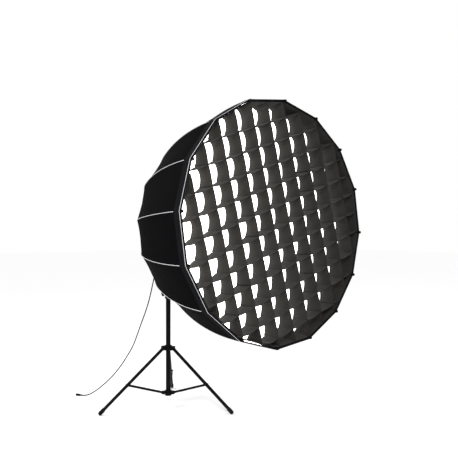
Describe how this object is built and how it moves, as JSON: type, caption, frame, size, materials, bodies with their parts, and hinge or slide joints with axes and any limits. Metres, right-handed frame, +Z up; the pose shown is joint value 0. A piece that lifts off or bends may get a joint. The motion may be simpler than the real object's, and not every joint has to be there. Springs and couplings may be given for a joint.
{
  "type": "octabox softbox light",
  "caption": "Deep folding octabox with fabric grid, diffusers and hinged rods, on a tilting studio lamp and a folding three-legged light stand with mains cord.",
  "frame": {"origin": "on the floor, in the middle of the footprint of everything but the mains cord", "axes": "+Z up, the softbox faces -Y, +X to the right of someone who stands behind the stand's column and looks along +Y"},
  "size_m": [1.4954, 1.8684, 2.062],
  "materials": {
    "stand_metal": "satin",
    "cast_black": "satin",
    "knob_plastic": "matte",
    "foot_rubber": "matte",
    "casing_black": "satin",
    "bare_aluminium": "satin",
    "steel_bolt": "satin",
    "led_yellow": "gloss",
    "latch_red": "matte",
    "rod_fibreglass": "satin",
    "shell_fabric": "satin",
    "white_cloth": "matte",
    "grid_fabric": "matte",
    "cord_rubber": "matte"
  },
  "bodies": {
    "base": {"column_tube": "stand_metal", "bottom_hub": "cast_black", "column_clamp": "cast_black"},
    "column_knob": {"column_clamp_knob": "knob_plastic"},
    "collar": {"leg_collar": "cast_black"},
    "collar_knob": {"leg_collar_knob": "knob_plastic"},
    "leg_1": {"leg_1": "stand_metal", "foot_1": "foot_rubber"},
    "leg_2": {"leg_2": "stand_metal", "foot_2": "foot_rubber"},
    "leg_3": {"leg_3": "stand_metal", "foot_3": "foot_rubber"},
    "brace_1": {"brace_1": "stand_metal"},
    "brace_2": {"brace_2": "stand_metal"},
    "brace_3": {"brace_3": "stand_metal"},
    "riser_1": {"riser_1": "stand_metal", "riser_1_clamp": "cast_black"},
    "riser_knob": {"riser_1_knob": "knob_plastic"},
    "riser_2": {"riser_2": "stand_metal"},
    "yoke": {"yoke_bracket": "stand_metal", "mains_cord": "cord_rubber", "cord_plug": "cord_rubber"},
    "yoke_knob": {"yoke_knob": "knob_plastic"},
    "lamp": {"tilt_bolts": "steel_bolt", "lamp_casing": "casing_black", "rear_cover": "knob_plastic", "heat_sink": "bare_aluminium", "led_module": "led_yellow", "front_barrel": "casing_black", "bayonet_collar": "bare_aluminium", "mount_insert": "bare_aluminium", "cord_gland": "cord_rubber"},
    "tilt_knob": {"tilt_knob": "knob_plastic"},
    "fan": {"fan_rotor": "knob_plastic"},
    "latch": {"bayonet_latch": "latch_red"},
    "switch": {"power_switch": "knob_plastic"},
    "dial": {"brightness_dial": "knob_plastic"},
    "hub": {"hub_ring": "bare_aluminium", "shell": "shell_fabric"},
    "hub_knob": {"hub_lock_knob": "knob_plastic"},
    "rib_01": {"rib_01": "rod_fibreglass"},
    "rib_02": {"rib_02": "rod_fibreglass"},
    "rib_03": {"rib_03": "rod_fibreglass"},
    "rib_04": {"rib_04": "rod_fibreglass"},
    "rib_05": {"rib_05": "rod_fibreglass"},
    "rib_06": {"rib_06": "rod_fibreglass"},
    "rib_07": {"rib_07": "rod_fibreglass"},
    "rib_08": {"rib_08": "rod_fibreglass"},
    "rib_09": {"rib_09": "rod_fibreglass"},
    "rib_10": {"rib_10": "rod_fibreglass"},
    "rib_11": {"rib_11": "rod_fibreglass"},
    "rib_12": {"rib_12": "rod_fibreglass"},
    "rib_13": {"rib_13": "rod_fibreglass"},
    "rib_14": {"rib_14": "rod_fibreglass"},
    "rib_15": {"rib_15": "rod_fibreglass"},
    "rib_16": {"rib_16": "rod_fibreglass"},
    "front_cloth": {"front_diffuser": "white_cloth"},
    "grid": {"grid": "grid_fabric"},
    "inner_cloth": {"inner_diffuser": "white_cloth"}
  },
  "joints": [
    {"name": "collar_slide", "type": "slide", "parent": "base", "child": "collar", "axis": [0, 0, 1], "range_m": [0, 0.3346]},
    {"name": "leg_fold_1", "type": "hinge", "parent": "collar", "child": "leg_1", "pos_m": [0.02517, 0.41297, 0.415], "axis": [-0.7771, 0.6293, 0], "range_deg": [0, 50.12]},
    {"name": "leg_fold_2", "type": "hinge", "parent": "collar", "child": "leg_2", "pos_m": [-0.03951, 0.38814, 0.415], "axis": [-0.1564, -0.9877, 0], "range_deg": [0, 50.12]},
    {"name": "leg_fold_3", "type": "hinge", "parent": "collar", "child": "leg_3", "pos_m": [0.01433, 0.34454, 0.415], "axis": [0.9336, 0.3584, 0], "range_deg": [0, 50.12]},
    {"name": "brace_fold_1", "type": "hinge", "parent": "base", "child": "brace_1", "pos_m": [0.02517, 0.41297, 0.095], "axis": [0.7771, -0.6293, 0], "range_deg": [0, 72.57]},
    {"name": "brace_fold_2", "type": "hinge", "parent": "base", "child": "brace_2", "pos_m": [-0.03951, 0.38814, 0.095], "axis": [0.1564, 0.9877, 0], "range_deg": [0, 72.57]},
    {"name": "brace_fold_3", "type": "hinge", "parent": "base", "child": "brace_3", "pos_m": [0.01433, 0.34454, 0.095], "axis": [-0.9336, -0.3584, 0], "range_deg": [0, 72.57]},
    {"name": "riser_1_slide", "type": "slide", "parent": "base", "child": "riser_1", "axis": [0, 0, 1], "range_m": [-0.1, 0.4]},
    {"name": "riser_2_slide", "type": "slide", "parent": "riser_1", "child": "riser_2", "axis": [0, 0, 1], "range_m": [-0.012, 0.5]},
    {"name": "yoke_pan", "type": "hinge", "parent": "riser_2", "child": "yoke", "pos_m": [0, 0.38189, 1.12], "axis": [0, 0, 1], "range_deg": [-180, 180]},
    {"name": "lamp_tilt", "type": "hinge", "parent": "yoke", "child": "lamp", "pos_m": [0, 0.38189, 1.273], "axis": [-1, 0, 0], "range_deg": [-15, 30]},
    {"name": "box_spin", "type": "hinge", "parent": "lamp", "child": "hub", "pos_m": [0, 0.21349, 1.27888], "axis": [0, -0.9994, 0.0349], "range_deg": [-180, 180]},
    {"name": "rod_fold_01", "type": "hinge", "parent": "hub", "child": "rib_01", "pos_m": [0.09969, 0.18124, 1.27216], "axis": [-0.0785, -0.0348, -0.9963], "range_deg": [0, 33], "deforming": ["shell", "inner_diffuser", "front_diffuser", "grid"]},
    {"name": "rod_fold_02", "type": "hinge", "parent": "hub", "child": "rib_02", "pos_m": [0.09511, 0.18259, 1.31088], "axis": [0.309, -0.0332, -0.9505], "range_deg": [0, 33.5]},
    {"name": "rod_fold_03", "type": "hinge", "parent": "hub", "child": "rib_03", "pos_m": [0.07604, 0.18378, 1.3449], "axis": [0.6494, -0.0265, -0.7599], "range_deg": [0, 33.5]},
    {"name": "rod_fold_04", "type": "hinge", "parent": "hub", "child": "rib_04", "pos_m": [0.0454, 0.18462, 1.36904], "axis": [0.891, -0.0158, -0.4537], "range_deg": [0, 33.5]},
    {"name": "rod_fold_05", "type": "hinge", "parent": "hub", "child": "rib_05", "pos_m": [0.00785, 0.18499, 1.37963], "axis": [0.9969, -0.0027, -0.0784], "range_deg": [0, 33.5]},
    {"name": "rod_fold_06", "type": "hinge", "parent": "hub", "child": "rib_06", "pos_m": [-0.0309, 0.18483, 1.37505], "axis": [0.9511, 0.0108, 0.3088], "range_deg": [0, 33.5]},
    {"name": "rod_fold_07", "type": "hinge", "parent": "hub", "child": "rib_07", "pos_m": [-0.06494, 0.18416, 1.35599], "axis": [0.7604, 0.0227, 0.6491], "range_deg": [0, 33.5]},
    {"name": "rod_fold_08", "type": "hinge", "parent": "hub", "child": "rib_08", "pos_m": [-0.0891, 0.18309, 1.32537], "axis": [0.454, 0.0311, 0.8905], "range_deg": [0, 33.5]},
    {"name": "rod_fold_09", "type": "hinge", "parent": "hub", "child": "rib_09", "pos_m": [-0.09969, 0.18178, 1.28784], "axis": [0.0785, 0.0348, 0.9963], "range_deg": [0, 33.5]},
    {"name": "rod_fold_10", "type": "hinge", "parent": "hub", "child": "rib_10", "pos_m": [-0.09511, 0.18043, 1.24911], "axis": [-0.309, 0.0332, 0.9505], "range_deg": [0, 33.5]},
    {"name": "rod_fold_11", "type": "hinge", "parent": "hub", "child": "rib_11", "pos_m": [-0.07604, 0.17924, 1.21509], "axis": [-0.6494, 0.0265, 0.7599], "range_deg": [0, 33.5]},
    {"name": "rod_fold_12", "type": "hinge", "parent": "hub", "child": "rib_12", "pos_m": [-0.0454, 0.1784, 1.19095], "axis": [-0.891, 0.0158, 0.4537], "range_deg": [0, 33.5]},
    {"name": "rod_fold_13", "type": "hinge", "parent": "hub", "child": "rib_13", "pos_m": [-0.00785, 0.17803, 1.18037], "axis": [-0.9969, 0.0027, 0.0784], "range_deg": [0, 33.5]},
    {"name": "rod_fold_14", "type": "hinge", "parent": "hub", "child": "rib_14", "pos_m": [0.0309, 0.17819, 1.18495], "axis": [-0.9511, -0.0108, -0.3088], "range_deg": [0, 33.5]},
    {"name": "rod_fold_15", "type": "hinge", "parent": "hub", "child": "rib_15", "pos_m": [0.06494, 0.17886, 1.204], "axis": [-0.7604, -0.0227, -0.6491], "range_deg": [0, 33.5]},
    {"name": "rod_fold_16", "type": "hinge", "parent": "hub", "child": "rib_16", "pos_m": [0.0891, 0.17992, 1.23463], "axis": [-0.454, -0.0311, -0.8905], "range_deg": [0, 33.5]},
    {"name": "front_cloth_gather", "type": "slide", "parent": "hub", "child": "front_cloth", "axis": [0, -0.9994, 0.0349], "range_m": [0, 0.199]},
    {"name": "inner_cloth_gather", "type": "slide", "parent": "hub", "child": "inner_cloth", "axis": [0, -0.9994, 0.0349], "range_m": [0, 0.225]},
    {"name": "grid_removal", "type": "slide", "parent": "front_cloth", "child": "grid", "axis": [0, -0.9994, 0.0349], "range_m": [0, 0.2]},
    {"name": "column_knob_turn", "type": "hinge", "parent": "base", "child": "column_knob", "pos_m": [-0.01026, 0.41008, 0.803], "axis": [-0.342, 0.9397, 0], "range_deg": [0, 360]},
    {"name": "collar_knob_turn", "type": "hinge", "parent": "collar", "child": "collar_knob", "pos_m": [-0.01075, 0.40989, 0.415], "axis": [-0.3584, 0.9336, 0], "range_deg": [0, 360]},
    {"name": "riser_knob_turn", "type": "hinge", "parent": "riser_1", "child": "riser_knob", "pos_m": [0.01607, 0.40104, 1.061], "axis": [0.6428, 0.766, 0], "range_deg": [0, 360]},
    {"name": "yoke_knob_turn", "type": "hinge", "parent": "yoke", "child": "yoke_knob", "pos_m": [0.03, 0.38189, 1.123], "axis": [1, 0, 0], "range_deg": [0, 360]},
    {"name": "tilt_knob_turn", "type": "hinge", "parent": "lamp", "child": "tilt_knob", "pos_m": [0.085, 0.38189, 1.273], "axis": [1, 0, 0], "range_deg": [0, 90]},
    {"name": "hub_knob_turn", "type": "hinge", "parent": "hub", "child": "hub_knob", "pos_m": [0, 0.2107, 1.19893], "axis": [0, -0.0349, -0.9994], "range_deg": [0, 360]},
    {"name": "fan_spin", "type": "hinge", "parent": "lamp", "child": "fan", "pos_m": [0, 0.37189, 1.27335], "axis": [0, -0.9994, 0.0349], "continuous": true},
    {"name": "brightness_turn", "type": "hinge", "parent": "lamp", "child": "dial", "pos_m": [0.03, 0.52299, 1.30209], "axis": [0, 0.9994, -0.0349], "range_deg": [0, 300]},
    {"name": "power_rock", "type": "hinge", "parent": "lamp", "child": "switch", "pos_m": [0.03, 0.52005, 1.27518], "axis": [1, 0, 0], "range_deg": [-12, 0]},
    {"name": "latch_slide", "type": "slide", "parent": "lamp", "child": "latch", "axis": [1, 0, 0], "range_m": [0, 0.004], "stiffness_N_per_m": 800}
  ],
  "couplings": [
    {"joint": "leg_fold_1", "follows": "collar_slide", "rad_per_m": 2.6145},
    {"joint": "leg_fold_2", "follows": "collar_slide", "rad_per_m": 2.6145},
    {"joint": "leg_fold_3", "follows": "collar_slide", "rad_per_m": 2.6145},
    {"joint": "brace_fold_1", "follows": "collar_slide", "rad_per_m": 3.7852},
    {"joint": "brace_fold_2", "follows": "collar_slide", "rad_per_m": 3.7852},
    {"joint": "brace_fold_3", "follows": "collar_slide", "rad_per_m": 3.7852},
    {"joint": "rod_fold_02", "follows": "rod_fold_01", "ratio": 1},
    {"joint": "rod_fold_03", "follows": "rod_fold_01", "ratio": 1},
    {"joint": "rod_fold_04", "follows": "rod_fold_01", "ratio": 1},
    {"joint": "rod_fold_05", "follows": "rod_fold_01", "ratio": 1},
    {"joint": "rod_fold_06", "follows": "rod_fold_01", "ratio": 1},
    {"joint": "rod_fold_07", "follows": "rod_fold_01", "ratio": 1},
    {"joint": "rod_fold_08", "follows": "rod_fold_01", "ratio": 1},
    {"joint": "rod_fold_09", "follows": "rod_fold_01", "ratio": 1},
    {"joint": "rod_fold_10", "follows": "rod_fold_01", "ratio": 1},
    {"joint": "rod_fold_11", "follows": "rod_fold_01", "ratio": 1},
    {"joint": "rod_fold_12", "follows": "rod_fold_01", "ratio": 1},
    {"joint": "rod_fold_13", "follows": "rod_fold_01", "ratio": 1},
    {"joint": "rod_fold_14", "follows": "rod_fold_01", "ratio": 1},
    {"joint": "rod_fold_15", "follows": "rod_fold_01", "ratio": 1},
    {"joint": "rod_fold_16", "follows": "rod_fold_01", "ratio": 1},
    {"joint": "front_cloth_gather", "follows": "rod_fold_01", "m_per_rad": 0.34377},
    {"joint": "inner_cloth_gather", "follows": "rod_fold_01", "m_per_rad": 0.38892}
  ]
}
